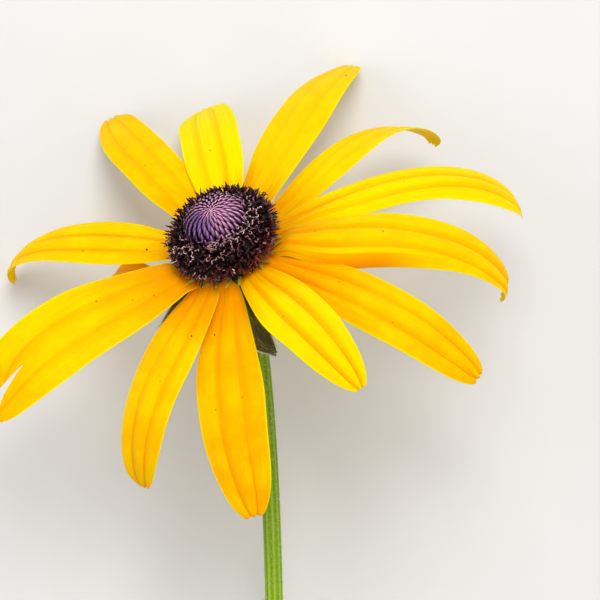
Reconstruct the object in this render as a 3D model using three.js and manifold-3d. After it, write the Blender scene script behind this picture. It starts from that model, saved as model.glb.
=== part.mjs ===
// A cut black-eyed Susan (Rudbeckia hirta), lying on a flat surface. Millimetres, +Z up.
// It rests on the cut end of its stem and on the drooping tips of rays at its far side, its face turned up.
// +Y runs along the stem towards the head, and the origin is under the middle of the whole flower's box.
import * as THREE from "three";
import { mergeVertices } from "three/addons/utils/BufferGeometryUtils.js";
import Module from "manifold-3d";

const wasm = await Module();
wasm.setup();

const { degToRad, lerp, smoothstep } = THREE.MathUtils;
const GOLDEN_ANGLE = Math.PI * (3 - Math.sqrt(5));
const GAP = 0.3; // clearance between pieces that touch

// Head: its own +Z is the flower's axis, out of the face, and its z = 0 is the rim that the rays grow from.
const HEAD_AT = [-3.64, 62.08, 27.78];
const HEAD_TILT = 45; // degrees that the face leans back from straight up, towards +Y
const HEAD_LEAN = 27; // degrees that the axis swings from +Y towards -X

// Ray florets.
const RIM_RADIUS = 7.0; // where a ray leaves the rim
const CLAW = 1.7; // length of a ray's base held between disc and involucre
const RAY_THICKNESS = 0.6;
const GROOVES = [-0.36, 0.36]; // places of the two long grooves across a ray, -1 and 1 being its margins
const GROOVE_DEPTH = 0.38;
const GROOVE_HALF_WIDTH = 0.17;
const FOLD_AT = -0.5; // place across a ray where its near lobe can fold down, most at FOLD_MOST along it
const FOLD_MOST = 0.4;
const FOLD_REACH = 0.33;
const FORK_AT = -0.13; // place across a ray where a forked one is split
const RAY_STATIONS = 13;
const RAY_COLUMNS = [-1, -0.7, -0.36, -0.13, 0.13, 0.36, 0.7, 1];

// One entry for each ray, clockwise as seen from above. Angles in degrees, sizes in millimetres.
// azimuth: round the head. rise: the ray's slope above the rim's plane at its base, middle and tip.
// heading: its sideways turn at the same three places. turn: its twist about its own line at middle and tip.
// lift: how far it lies above its neighbours. cup: how far the margins hang, as a share of the half width.
// fold: how far the near lobe is folded down. notch: depth of the teeth, as a share of the length.
// fork: depth of a split in the tip. widest: place of the greatest width.
// base: width of the base, as a share of the greatest width.
// blunt: higher for a squarer tip. taper: higher for a slimmer one.
// skew: how much wider the near half is at its base, and narrower at its tip, as a share.
const PLAIN_RAY = {
  turn: [0, 0], fold: 0, skew: 0, notch: 0.03, fork: 0, base: 0.22, widest: 0.46, blunt: 2.2, taper: 0.5,
};
const RAYS = [
  {
    azimuth: 79.3, length: 30, width: 9.4,
    rise: [22, -2, -40], heading: [-8, 2, 6], lift: 0.8, cup: 0.12, blunt: 3.4,
  },
  {
    azimuth: 52, length: 40.8, width: 9,
    rise: [4, -6.9, -37], heading: [-11, -4.6, -7.4], lift: 0.1, cup: 0.1,
  },
  {
    azimuth: 22, length: 41, width: 7.5,
    rise: [-4, -12, -80], heading: [-9, 5, -25], turn: [-8, -78],
    skew: -0.12, lift: -1, cup: 0.1, widest: 0.54, blunt: 1.8, taper: 1.1,
  },
  {
    azimuth: -4, length: 45.5, width: 7.6,
    rise: [-4, -18, -85], heading: [-2, -0.6, -4], skew: -0.08, lift: 0.1, cup: 0.15, notch: 0.01,
  },
  {
    azimuth: -30, length: 41.2, width: 9.8,
    rise: [-2, -18, -92], heading: [0, 0, -2], fold: 62, skew: 0.46, lift: 1.1, cup: 0.18, notch: 0.01,
  },
  {
    azimuth: -56, length: 41.9, width: 8.6,
    rise: [-2, -14, -68], heading: [0, 1.4, 2.6], skew: -0.25, lift: -0.05, cup: 0.2, notch: 0.02,
  },
  {
    azimuth: -82, length: 33.5, width: 9,
    rise: [12, 0, -20], heading: [2, 6, -1], lift: 0.6, cup: 0.15, notch: 0.02, blunt: 2,
  },
  {
    azimuth: -114.5, length: 39.6, width: 10.3,
    rise: [-6, -24, -60], heading: [-1.5, 2.6, 9], skew: 0.06, lift: -1.4, cup: 0.15, widest: 0.52,
  },
  {
    azimuth: -141, length: 38.4, width: 9,
    rise: [-4, -18, -88], heading: [0.6, -0.2, -2], lift: -0.6, cup: 0.18, notch: 0.02,
  },
  {
    azimuth: -169.5, length: 40.1, width: 11.6,
    rise: [8, 8, -32], heading: [1, 0.6, 20], turn: [-26, -34],
    lift: 1.2, cup: 0.12, base: 0.28, widest: 0.54, notch: 0.01, fork: 9.5, blunt: 2.9,
  },
  {
    azimuth: 164, length: 28.2, width: 6,
    rise: [-4, -20, -112], heading: [-13, -15, -8], lift: -2.1, cup: 0.2,
  },
  {
    azimuth: 142, length: 43.8, width: 7.9,
    rise: [-8, -4.8, -81], heading: [-1.4, -1, -6],
    skew: 0.12, lift: 0.5, cup: 0.2, widest: 0.36, blunt: 1.5, taper: 1,
  },
  {
    azimuth: 106, length: 36.9, width: 8.3,
    rise: [20, 4.8, -26], heading: [-8, -2, -16], lift: -0.9, cup: 0.12, base: 0.32, blunt: 3,
  },
];

// Disc: a dark ring of open florets with a purple dome of buds on top.
// Profiles are [radius, height] on the head's axis.
const DISC_PROFILE = [
  [0, 0.9], [5.8, 0.9], [6.9, 2.0], [7.6, 3.7], [7.3, 5.0], [6.4, 5.8], [5.9, 6.0], [4.6, 6.2], [0, 6.2],
];
const DISC_SIDES = 18;
const FLORETS = 160;
const FLORET_LENGTH = 2.2;
const FLORET_RADIUS = 0.48;
const FLORET_FOOT = 0.3; // radius where a floret meets the disc
const FLORET_SWAY = 0.14; // radians that florets lean from the disc's normal
const ROOT_DEPTH = 0.5; // how far florets and buds are sunk in what they grow from
const CAP_RADIUS = 4.9;
const CAP_BASE = 6.5;
const CAP_TOP = 8.9;
const BUDS = 96;
const BUD_RADIUS = [0.4, 0.62]; // at the dome's top and at its edge
const BUD_HEIGHT = 0.5;
const BUD_LEAN = -0.6; // radians that each bud leans towards the top of the dome

// Involucre: the green cup under the head, with its bracts.
const CUP_PROFILE = [[0, -4.4], [1.7, -4.4], [2.6, -3.6], [4.6, -2.2], [6.0, -1.1], [6.0, -0.65], [0, -0.65]];
const CUP_SIDES = 20;
const BRACTS = 14; // in two rows, the outer one longer
const BRACT_LENGTH = 12.5;
const BRACT_WIDTH = 3.1;
const BRACT_RISE = [[-48, -72, -84], [-38, -62, -72]]; // slopes of the inner and the outer row, as for a ray
const BRACT_FOOT = [[4.4, -1.9], [3.6, -2.5]];
// The bracts that spread wider than the rest, by their numbers in the ring.
const SPREAD_BRACTS = {
  7: { azimuth: 185, length: 13.4, width: 3.6, rise: [-14, -24, -30], heading: [0, 0, 0] },
  10: { azimuth: -112, length: 13.2, width: 5.6, rise: [-34, -44, -44], heading: [6, 22, 68] },
};

// Stem: it leaves the head along the flower's axis, bends level and runs along the surface.
const STEM_STRAIGHT = 15; // how far its curve is drawn along the axis
const STEM_ROUTE = [[5.16, -18.95, 2.6], [-0.64, -91.95, 1.43]];
const STEM_STEPS = 26;
const STEM_RADIUS = 1.35;
const STEM_RIBS = 9;
const RIB_HEIGHT = 0.16;

function bump(x, centre, halfWidth) {
  return Math.exp(-(((x - centre) / halfWidth) ** 2));
}

// The value at s of a curve through three values at 0, 0.5 and 1.
function through([start, middle, end], s) {
  return start * (1 - s) * (1 - 2 * s) + 4 * middle * s * (1 - s) + end * s * (2 * s - 1);
}

// A closed thin blade. surface(t, v) is the point of its upper face t along it and v across it.
function bladeGeometry(surface, stations, columns, thickness) {
  const step = 1e-3;
  const upper = [];
  const lower = [];
  for (const t of stations) {
    for (const v of columns) {
      const point = surface(t, v);
      const along = surface(t + step, v).sub(surface(t - step, v));
      const across = surface(t, v + step).sub(surface(t, v - step));
      const normal = along.cross(across).normalize();
      upper.push(point);
      lower.push(point.clone().addScaledVector(normal, -thickness));
    }
  }
  const width = columns.length;
  const below = upper.length;
  const faces = [];
  const quad = (a, b, c, d) => faces.push(a, b, c, a, c, d);
  for (let i = 0; i < stations.length - 1; i++) {
    for (let j = 0; j < width - 1; j++) {
      const a = i * width + j;
      const b = a + width;
      faces.push(a, b, b + 1, a, b + 1, a + 1);
      faces.push(below + a, below + b + 1, below + b, below + a, below + a + 1, below + b + 1);
    }
    const near = i * width;
    const far = near + width - 1;
    quad(below + near, below + near + width, near + width, near);
    quad(below + far, far, far + width, below + far + width);
  }
  const last = (stations.length - 1) * width;
  for (let j = 0; j < width - 1; j++) {
    quad(below + j, j, j + 1, below + j + 1);
    quad(below + last + j, below + last + j + 1, last + j + 1, last + j);
  }
  const geometry = new THREE.BufferGeometry().setFromPoints([...upper, ...lower]);
  geometry.setIndex(faces);
  return geometry;
}

// A frame that travels along a bending line, whose angles in degrees are functions of s from 0 to 1.
function travel(length, rise, heading, roll) {
  const steps = 60;
  const points = [new THREE.Vector3()];
  const direction = (s) => {
    const up = degToRad(rise(s));
    const turn = degToRad(heading(s));
    return new THREE.Vector3(Math.cos(up) * Math.cos(turn), Math.cos(up) * Math.sin(turn), Math.sin(up));
  };
  for (let i = 0; i < steps; i++) {
    points.push(points[i].clone().addScaledVector(direction((i + 0.5) / steps), length / steps));
  }
  return (s) => {
    const place = THREE.MathUtils.clamp(s, -0.02, 1.02) * steps;
    const index = THREE.MathUtils.clamp(Math.floor(place), 0, steps - 1);
    const origin = points[index].clone().lerp(points[index + 1], place - index);
    const tangent = direction(s);
    const turn = degToRad(heading(s));
    const level = new THREE.Vector3(-Math.sin(turn), Math.cos(turn), 0);
    const up = new THREE.Vector3().crossVectors(tangent, level);
    const angle = degToRad(roll(s));
    const side = level.clone().multiplyScalar(Math.cos(angle)).addScaledVector(up, Math.sin(angle));
    const normal = new THREE.Vector3().crossVectors(tangent, side);
    return { origin, side, normal };
  };
}

// Half width of a ray at s, as a share of its greatest half width.
function rayOutline(s, base, widest, blunt, taper) {
  if (s < widest) return lerp(base, 1, Math.sin((Math.PI / 2) * (s / widest)) ** 1.15);
  return (1 - ((s - widest) / (1 - widest)) ** blunt) ** taper;
}

// One ray floret, along +X from the rim of a head at the origin.
function rayGeometry(ray) {
  const { length, width, rise, heading, turn, lift, cup } = { ...PLAIN_RAY, ...ray };
  const { fold, skew, notch, fork, base, widest, blunt, taper } = { ...PLAIN_RAY, ...ray };
  const clawShare = CLAW / length;
  const riseAt = (s) => through(rise, s) * smoothstep(s, 0, 2 * clawShare);
  const frameAt = travel(length, riseAt, (s) => through(heading, s), (s) => through([0, ...turn], s));
  const tipShare = 0.985; // the tip stays a short edge, not a point
  const surface = (t, v) => {
    const teeth = GROOVES.reduce((sum, place) => sum + bump(v, place, 0.16), 0);
    const split = Math.max(0, 1 - Math.abs(v - FORK_AT) / 0.5);
    const cut = notch * teeth * smoothstep(t, 0.88, 1) + (fork / length) * split * smoothstep(t, 0.5, 1);
    const s = t * tipShare;
    const past = smoothstep(t, 0.03, 0.2); // 0 in the claw, 1 where the blade is free
    const near = v < 0 ? 1 + skew * smoothstep(t, 0.08, 0.3) * Math.cos(Math.PI * t) : 1;
    const half = (width / 2) * near * rayOutline(Math.max(s, 0), base, widest, blunt, taper);
    const { origin, side, normal } = frameAt(s - cut);
    const grooves = GROOVES.reduce((sum, place) => sum + bump(v, place, GROOVE_HALF_WIDTH), 0);
    const height = (lift - GROOVE_DEPTH * grooves) * past - cup * half * v * v;
    const folded = half * Math.max(0, FOLD_AT - v);
    const angle = degToRad(fold) * bump(t, FOLD_MOST, FOLD_REACH);
    return origin
      .addScaledVector(side, half * v + folded * (1 - Math.cos(angle)))
      .addScaledVector(normal, height - folded * Math.sin(angle));
  };
  const stations = Array.from({ length: RAY_STATIONS }, (_, i) => {
    const even = i / (RAY_STATIONS - 1);
    return even + 0.09 * Math.sin(Math.PI * even) * even; // closer together near the tip
  });
  const geometry = bladeGeometry(surface, stations, RAY_COLUMNS, RAY_THICKNESS);
  return geometry.translate(RIM_RADIUS - CLAW, 0, RAY_THICKNESS / 2);
}

function colour(hex, roughness) {
  return new THREE.MeshStandardMaterial({ color: hex, roughness, metalness: 0 });
}

function solidOf(geometry) {
  const bare = geometry.index ? geometry.toNonIndexed() : geometry.clone();
  bare.deleteAttribute("normal");
  bare.deleteAttribute("uv");
  const merged = mergeVertices(bare, 1e-4);
  return new wasm.Manifold(
    new wasm.Mesh({
      numProp: 3,
      vertProperties: merged.attributes.position.array,
      triVerts: new Uint32Array(merged.index.array),
    }),
  );
}

function geometryOf(solid) {
  const made = solid.getMesh();
  return new THREE.BufferGeometry()
    .setAttribute("position", new THREE.BufferAttribute(made.vertProperties, 3))
    .setIndex(new THREE.BufferAttribute(made.triVerts, 1));
}

function lathe(profile, sides) {
  const points = profile.map(([radius, height]) => new THREE.Vector2(radius, height));
  const geometry = new THREE.LatheGeometry(points, sides);
  return geometry.rotateX(Math.PI / 2);
}

// Spreads places over a turned profile in the golden spiral, each with an equal share of surface.
function spiralOver(profile, count) {
  const samples = [];
  const pieces = 40;
  let area = 0;
  for (let i = 0; i < profile.length - 1; i++) {
    const [r0, h0] = profile[i];
    const [r1, h1] = profile[i + 1];
    for (let k = 0; k < pieces; k++) {
      const part = (k + 0.5) / pieces;
      const radius = lerp(r0, r1, part);
      const run = Math.hypot(r1 - r0, h1 - h0) / pieces;
      area += 2 * Math.PI * radius * run;
      const outward = Math.atan2(r1 - r0, h0 - h1); // slope of the surface's normal above the level
      samples.push({ area, radius, height: lerp(h0, h1, part), outward });
    }
  }
  return Array.from({ length: count }, (_, n) => {
    const wanted = (area * (n + 0.5)) / count;
    const found = samples.find((sample) => sample.area >= wanted);
    return { ...found, azimuth: n * GOLDEN_ANGLE, share: (n + 0.5) / count };
  });
}

// A small turned solid, set on the disc with its foot sunk and leaning from the surface's normal.
function grow(place, outline, sides, lean) {
  const geometry = lathe(outline, sides);
  geometry.rotateY(Math.PI / 2 - place.outward + lean);
  geometry.translate(place.radius, 0, place.height);
  geometry.rotateZ(place.azimuth);
  return solidOf(geometry);
}

function discFloretsGeometry() {
  const flank = DISC_PROFILE.slice(2, -2).reverse();
  const florets = spiralOver(flank, FLORETS).map((place, n) => {
    const length = FLORET_LENGTH * (0.85 + 0.15 * Math.sin(2.4 * n));
    const foot = [[0, -ROOT_DEPTH], [FLORET_FOOT, -ROOT_DEPTH]];
    const outline = [...foot, [FLORET_RADIUS, 0.62 * length], [0, length]];
    return grow(place, outline, 4, FLORET_SWAY * Math.sin(5.1 * n));
  });
  const core = solidOf(lathe(DISC_PROFILE, DISC_SIDES));
  return geometryOf(wasm.Manifold.union([core, ...florets]));
}

function discBudsGeometry() {
  const shoulder = CAP_BASE + 0.4;
  const dome = Array.from({ length: 6 }, (_, i) => {
    const angle = (i / 5) * (Math.PI / 2);
    return [CAP_RADIUS * Math.sin(angle), shoulder + (CAP_TOP - shoulder) * Math.cos(angle)];
  });
  const core = solidOf(lathe([[0, CAP_BASE], [CAP_RADIUS, CAP_BASE], ...dome.toReversed()], 16));
  const buds = spiralOver(dome, BUDS).map((place) => {
    const radius = lerp(...BUD_RADIUS, place.share);
    return grow(place, [[0, -ROOT_DEPTH], [radius, -0.1], [0, BUD_HEIGHT]], 4, BUD_LEAN);
  });
  // The lowest buds are cut level, clear of the ring of florets.
  const below = new THREE.CylinderGeometry(9, 9, 4, 24).rotateX(Math.PI / 2).translate(0, 0, CAP_BASE - 2);
  return geometryOf(wasm.Manifold.union([core, ...buds]).subtract(solidOf(below)));
}

function bractGeometry(index) {
  const row = index % 2;
  const plain = {
    azimuth: (index / BRACTS) * 360 + 6 * Math.sin(4.7 * index),
    length: BRACT_LENGTH + 1.8 * Math.sin(2.1 * index) + 1.5 * row,
    width: BRACT_WIDTH + 0.4 * Math.sin(3.3 * index),
    rise: BRACT_RISE[row],
    heading: [0, 3 * Math.sin(1.7 * index), 6 * Math.sin(1.7 * index)],
  };
  const { azimuth, length, width, rise, heading } = { ...plain, ...SPREAD_BRACTS[index] };
  const frameAt = travel(length, (s) => through(rise, s), (s) => through(heading, s), () => 0);
  const surface = (t, v) => {
    const s = 0.97 * t;
    const half = (width / 2) * Math.max(1 - Math.abs(2 * s - 0.62) ** 2.4 / 1.38 ** 2.4, 0.02) ** 0.75;
    const { origin, side, normal } = frameAt(s);
    return origin.addScaledVector(side, half * v).addScaledVector(normal, 0.25 * half * v * v);
  };
  const geometry = bladeGeometry(surface, [0, 0.2, 0.4, 0.6, 0.78, 0.92, 1], [-1, -0.5, 0, 0.5, 1], 0.6);
  const [radius, height] = BRACT_FOOT[row];
  geometry.translate(radius, 0, height);
  return geometry.rotateZ(degToRad(azimuth));
}

function involucreGeometry() {
  const cup = solidOf(lathe(CUP_PROFILE, CUP_SIDES));
  const bracts = Array.from({ length: BRACTS }, (_, i) => solidOf(bractGeometry(i)));
  return geometryOf(wasm.Manifold.union([cup, ...bracts]));
}

const head = new THREE.Group();
head.position.set(...HEAD_AT);
head.rotation.set(-degToRad(HEAD_TILT), 0, degToRad(HEAD_LEAN), "ZYX");
head.updateMatrix();

function stemGeometry() {
  const start = new THREE.Vector3(0, 0, CUP_PROFILE[0][1] - GAP).applyMatrix4(head.matrix);
  const down = new THREE.Vector3(0, 0, -1).transformDirection(head.matrix);
  const bend = start.clone().addScaledVector(down, STEM_STRAIGHT);
  const onSurface = STEM_ROUTE.map((point) => new THREE.Vector3(...point));
  const route = new THREE.CubicBezierCurve3(start, bend, ...onSurface);
  const points = STEM_RIBS * 2;
  const outline = Array.from({ length: points }, (_, i) => {
    const radius = STEM_RADIUS + (i % 2 ? -RIB_HEIGHT / 2 : RIB_HEIGHT / 2);
    const angle = (i / points) * 2 * Math.PI;
    return new THREE.Vector2(radius * Math.cos(angle), radius * Math.sin(angle));
  });
  return new THREE.ExtrudeGeometry(new THREE.Shape(outline), {
    steps: STEM_STEPS,
    bevelEnabled: false,
    extrudePath: route,
  });
}

RAYS.forEach((ray, index) => {
  const mesh = new THREE.Mesh(rayGeometry(ray), colour(0xf5b800, 0.55));
  mesh.name = `ray_floret_${String(index + 1).padStart(2, "0")}`;
  mesh.rotation.z = degToRad(ray.azimuth);
  head.add(mesh);
});

const discFlorets = new THREE.Mesh(discFloretsGeometry(), colour(0x2a1216, 0.7));
discFlorets.name = "disc_florets";
head.add(discFlorets);

const discBuds = new THREE.Mesh(discBudsGeometry(), colour(0x6b3f66, 0.6));
discBuds.name = "disc_buds";
head.add(discBuds);

const involucre = new THREE.Mesh(involucreGeometry(), colour(0x4c5a20, 0.8));
involucre.name = "involucre";
head.add(involucre);

const stem = new THREE.Mesh(stemGeometry(), colour(0x6f8f2c, 0.7));
stem.name = "stem";

const flower = new THREE.Group();
flower.add(head, stem);
export default flower;
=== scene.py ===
"""A cut black-eyed Susan lying on a pale surface.

Thirteen yellow rays stand round a raised disc: a ring of dark open florets, and in its middle a purple dome
of buds. A green cup with hairy bracts joins the head to a ribbed, hairy stem.
Shapes are worked out in millimetres, those of the head in the head's own frame, and laid in metres.
"""

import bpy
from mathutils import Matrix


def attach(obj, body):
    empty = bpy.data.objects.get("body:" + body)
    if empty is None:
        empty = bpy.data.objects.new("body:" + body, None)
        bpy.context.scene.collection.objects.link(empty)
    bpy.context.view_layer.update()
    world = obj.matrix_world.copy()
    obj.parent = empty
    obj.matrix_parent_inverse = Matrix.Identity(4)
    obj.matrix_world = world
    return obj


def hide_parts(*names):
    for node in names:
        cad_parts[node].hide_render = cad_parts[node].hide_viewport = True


bl_info = {
    "name": "Black-eyed Susan",
    "version": (1, 0, 0),
    "blender": (4, 5, 0),
    "location": "3D View > Sidebar > Flower",
    "description": "Builds a cut black-eyed Susan round its frame",
    "category": "Add Mesh",
}

import copy
import math
from dataclasses import dataclass

import bpy
import numpy as np
from bpy.props import FloatProperty, FloatVectorProperty, IntProperty, PointerProperty
from mathutils import Matrix, Vector

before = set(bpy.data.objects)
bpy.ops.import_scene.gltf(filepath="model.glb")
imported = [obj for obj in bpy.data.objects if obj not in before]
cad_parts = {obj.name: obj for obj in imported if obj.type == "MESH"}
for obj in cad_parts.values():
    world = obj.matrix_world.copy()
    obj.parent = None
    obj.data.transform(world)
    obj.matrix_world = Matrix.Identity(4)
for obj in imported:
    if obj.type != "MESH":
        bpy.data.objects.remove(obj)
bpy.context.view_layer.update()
MM = 0.001
FULL_TURN = 2 * math.pi
GOLDEN_ANGLE = math.pi * (3 - math.sqrt(5))
UP = np.array([0, 0, 1])
SEED = 20

# Head: its own +Z is the flower's axis, out of the face, and its z = 0 is the rim that the rays grow from.
HEAD_AT = np.array([-3.64, 62.08, 27.78])
HEAD_TILT = 45  # degrees that the face leans back from straight up, towards +Y
HEAD_LEAN = 27  # degrees that the axis swings from +Y towards -X
HEAD_TURN = np.array(
    Matrix.Rotation(math.radians(HEAD_LEAN), 3, "Z") @ Matrix.Rotation(-math.radians(HEAD_TILT), 3, "X")
)

# Ray florets. Places across a ray run from -1 at its near margin to 1.
RIM_RADIUS = 7.0  # where a ray leaves the rim
CLAW = 1.7  # length of a ray's base held between disc and cup
ROOT_HEIGHT = 0.3  # height of a ray's upper face at the rim
TIP_SHARE = 0.985  # the tip stays a short edge, not a point
GROOVES = (-0.36, 0.36)
GROOVE_DEPTH = 0.304
GROOVE_HALF_WIDTH = 0.17
CREASE_DEPTH = 0.16  # a narrow crease at the bottom of each groove
CREASE_HALF_WIDTH = 0.045
TOOTH_HALF_WIDTH = 0.16
FOLD_AT = -0.6  # where the near lobe can fold down, most at FOLD_MOST along the ray
FOLD_MOST = 0.4
FOLD_REACH = 0.33
FORK_AT = -0.13  # where a forked ray is split
SHOULDER_AT = 1.2  # where a ray starts to widen from its claw
SHOULDER_REACH = 1.6
RAY_ROWS = 84
RAY_COLUMNS = 49
COLUMN_CROWD = 0.86  # higher for columns that crowd more towards the margins
LOWEST = 0.04  # a ray's upper face stays this far above the surface
VEINS = 5.5  # fine ridges on each half of a ray


@dataclass
class Ray:
    """One ray. Angles are in degrees and sizes in millimetres."""

    azimuth: float  # round the head
    length: float
    width: float
    rise: tuple  # its slope above the rim's plane at its base, middle and tip
    heading: tuple  # its sideways turn at the same three places
    turn: tuple = (0, 0)  # its twist about its own line at middle and tip
    lift: float = 0  # how far it lies above its neighbours
    cup: float = 0.15  # how far its margins hang, as a share of the half width
    hook: float = 0  # how much more steeply its last tenth bends down
    fold: float = 0  # how far its near lobe is folded down
    skew: float = 0  # how much wider its near half is at the base, and narrower at the tip, as a share
    notch: float = 0.03  # depth of its teeth, as a share of its length
    fork: float = 0  # depth of a split in its tip
    base: float = 0.3  # width of its base, as a share of its greatest width
    widest: float = 0.46  # place of its greatest width
    blunt: float = 2.2  # higher for a squarer tip
    taper: float = 0.5  # higher for a slimmer tip
    warmth: float = 0.3  # how far the orange of its base reaches, and how deep the painted shade at its tip is
    gold: float = 0.4  # how deep its yellow is
    furrow: float = 1  # how strong its two grooves are, in depth and in their painted shade


# Clockwise as seen from above.
RAYS = (
    Ray(79.3, 30, 9.4, (22, -2, -40), (-8, 2, 6), lift=0.8, cup=0.12, notch=0.025, base=0.42, blunt=4.4,
        warmth=0.1, gold=0, furrow=0.6),
    Ray(52, 40.8, 9.1, (4, -6.9, -37), (-11, -4.6, -7.4), lift=0.1, cup=0.1, notch=0.012, base=0.55, blunt=3,
        warmth=0.2, furrow=0.25),
    Ray(22, 41.8, 7.5, (-4, -12.5, -86), (-9, 5, -27), turn=(-8, -44), lift=-1, cup=0.1, hook=40, skew=-0.12,
        notch=0.012, base=0.52, widest=0.54, blunt=2.6, taper=0.7, gold=0.26, furrow=0.3),
    Ray(-4, 46, 7.7, (-4, -18, -85), (-2, -0.6, -4), lift=0.1, hook=20, skew=-0.08, notch=0.003, base=0.36,
        blunt=3.2, taper=0.42, warmth=0.25, gold=0.13, furrow=0.8),
    Ray(-30, 42, 9.8, (-2, -18, -92), (0, 0, -2), lift=1.1, cup=0.18, hook=60, fold=58, skew=0.5, notch=0,
        base=0.38, blunt=2.8, taper=0.44, warmth=0.2, gold=0.46, furrow=0.9),
    Ray(-56, 41.9, 8.6, (-2, -14, -68), (0, 1.4, 2.6), lift=-0.05, cup=0.2, hook=15, skew=-0.25, notch=0.002,
        base=0.34, blunt=2.3, warmth=0.8, gold=0.54, furrow=1.1),
    Ray(-82, 33.5, 9, (12, 0, -20), (2, 6, -1), lift=0.6, notch=0.007, base=0.38, blunt=1.9, taper=0.55,
        warmth=0.4, gold=0.18, furrow=1.2),
    Ray(-114.5, 39.6, 10.3, (-6, -24, -60), (-1.5, 2.6, 9), lift=-1.4, skew=0.06, notch=0.006, widest=0.52,
        blunt=2.4, warmth=0.25, gold=0.9),
    Ray(-141, 38.4, 9, (-4, -18, -88), (0.6, -0.2, -2), lift=-0.6, cup=0.18, hook=20, notch=0.004, base=0.46,
        taper=0.6, warmth=0.35, gold=0.68, furrow=0.9),
    Ray(-169.5, 40.1, 11.6, (8, 8, -32), (1, 0.6, 20), turn=(-26, -34), lift=1.2, cup=0.12, notch=0.01,
        fork=9.5, base=0.46, widest=0.54, blunt=2.9, warmth=0.8, gold=0.42, furrow=0.6),
    Ray(168, 28.2, 6, (-10, -14, -122), (-6, -34, -16), lift=-2.6, cup=0.2, skew=-0.5, base=0.12, widest=0.6,
        warmth=1, gold=0.9),
    Ray(142, 43.8, 7.9, (-8, -4.8, -81), (-1.4, -1, -6), lift=0.5, cup=0.2, hook=20, skew=0.12, notch=0.015,
        base=0.44, widest=0.38, blunt=1.7, taper=0.62, warmth=0.1, gold=0.42, furrow=1.1),
    Ray(106, 36.9, 8.3, (20, 4.8, -26), (-8, -2, -16), lift=-0.9, cup=0.12, notch=0.024, base=0.4, blunt=3,
        warmth=0.2, gold=0.58, furrow=0.6),
)

# Dark grains of dust and pollen: ray, place along it, place across it, radius.
SPECKS = (
    (0, 0.46, 0.05, 0.14), (1, 0.86, -0.55, 0.16), (5, 0.36, 0.2, 0.1), (5, 0.62, -0.3, 0.09),
    (6, 0.44, -0.3, 0.1), (7, 0.24, -0.5, 0.16), (7, 0.55, -0.45, 0.12), (7, 0.52, 0.35, 0.12),
    (8, 0.28, 0.55, 0.17), (8, 0.5, 0.2, 0.1), (9, 0.42, -0.35, 0.15), (9, 0.22, 0.3, 0.1),
    (9, 0.3, 0.1, 0.12), (11, 0.2, 0.3, 0.2), (11, 0.45, 0.5, 0.13), (12, 0.5, 0.2, 0.1),
    (3, 0.5, 0.1, 0.09), (4, 0.45, 0.15, 0.13), (4, 0.2, 0.3, 0.1),
)

# Disc. Profiles are (radius, height) on the head's axis.
DISC_PROFILE = (
    (0, 0.9), (5.8, 0.9), (6.9, 2.0), (7.6, 3.7), (7.3, 5.0), (6.4, 5.8), (5.9, 6.0), (4.6, 6.2), (0, 6.2),
)
CORE_SINK = 0.8  # how far the dark core lies inside the ring
FLANK_SINK = 0.3  # how far the florets' feet lie inside it
FLANK = ((4.9, 6.3), (5.9, 6.0), (6.4, 5.8), (7.3, 5.0), (7.6, 3.7), (6.9, 2.0))
TUFTS = 25  # round the rim
TUFT_DEPTH = 0.3  # how much the florets' length varies with them
STYLE_BELT = ((4.6, 6.3), (5.9, 6.0), (6.4, 5.7), (6.9, 5.2))
# Strands from foot to tip: heights as shares of their length, and radii.
TUBE = (-0.7, 0.0, 0.24, 0.34, 0.38, 0.4), (0.2, 0.24, 0.28, 0.3, 0.22, 0)
LOBE = (0, 0.22, 0.45, 0.68, 0.88, 1.0), (0.13, 0.15, 0.145, 0.12, 0.08, 0)
CHAFF = (-0.4, 0.35, 0.7, 0.9, 1.0), (0.18, 0.21, 0.17, 0.1, 0)
RIM_SCALE = (0, 0.3, 0.6, 0.85, 1.0), (0.28, 0.32, 0.26, 0.15, 0)
ANTHER = (0.0, 0.5, 0.8, 0.95, 1.0), (0.1, 0.12, 0.11, 0.07, 0)
STYLE_RADIUS = 0.0656
STYLE_SWELL = (0.8125, 0.875, 0.9375, 0.975, 1, 1, 0.975, 0.9375, 0.875, 0.775, 0.625, 0)
CAP_RADIUS = 4.4
CAP_BASE = 6.0
CAP_SHOULDER = 6.5
CAP_TOP = 8.4
BUD_CROWD = 1.4  # how much closer together the buds stand at the top of the dome
BUD_CROWD_REACH = 1.6
# A bud's rings from foot to tip: how far out of the dome, towards its top and sideways, and their radii.
BUD = (
    (-0.4, -0.1, 0.16, 0.38, 0.52, 0.58, 0.56), (-0.68, -0.58, -0.34, 0.0, 0.4, 0.76, 1.06),
    (0, 0, 0, 0, 0.01, 0.03, 0.06), (0.16, 0.32, 0.43, 0.45, 0.36, 0.19, 0),
)
CORE_SIDES = 48

# Cup and bracts.
CUP_PROFILE = ((0, -4.4), (1.7, -4.4), (2.6, -3.6), (4.6, -2.2), (6.0, -1.1), (6.0, -0.65), (0, -0.65))
CUP_SIDES = 60
BRACTS = 14  # in two rows, the outer one longer
BRACT_LENGTH = 12.5
BRACT_WIDTH = 3.1
BRACT_THICKNESS = 0.4
BRACT_RISE = ((-48, -72, -84), (-38, -62, -72))  # slopes of the inner and the outer row, as for a ray
BRACT_FOOT = ((4.4, -1.9), (3.6, -2.5))
BRACT_ROWS = 30
BRACT_COLUMNS = 15
# The bracts that spread wider, by their numbers in the ring: azimuth, length, width, rise, heading.
SPREAD_BRACTS = {
    7: (185, 13.4, 3.6, (-14, -24, -30), (0, 0, 0)),
    10: (-112, 13.2, 5.6, (-34, -44, -44), (6, 22, 68)),
}
EDGE_HAIRS = 90  # on each bract
FACE_HAIRS = 70

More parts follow.
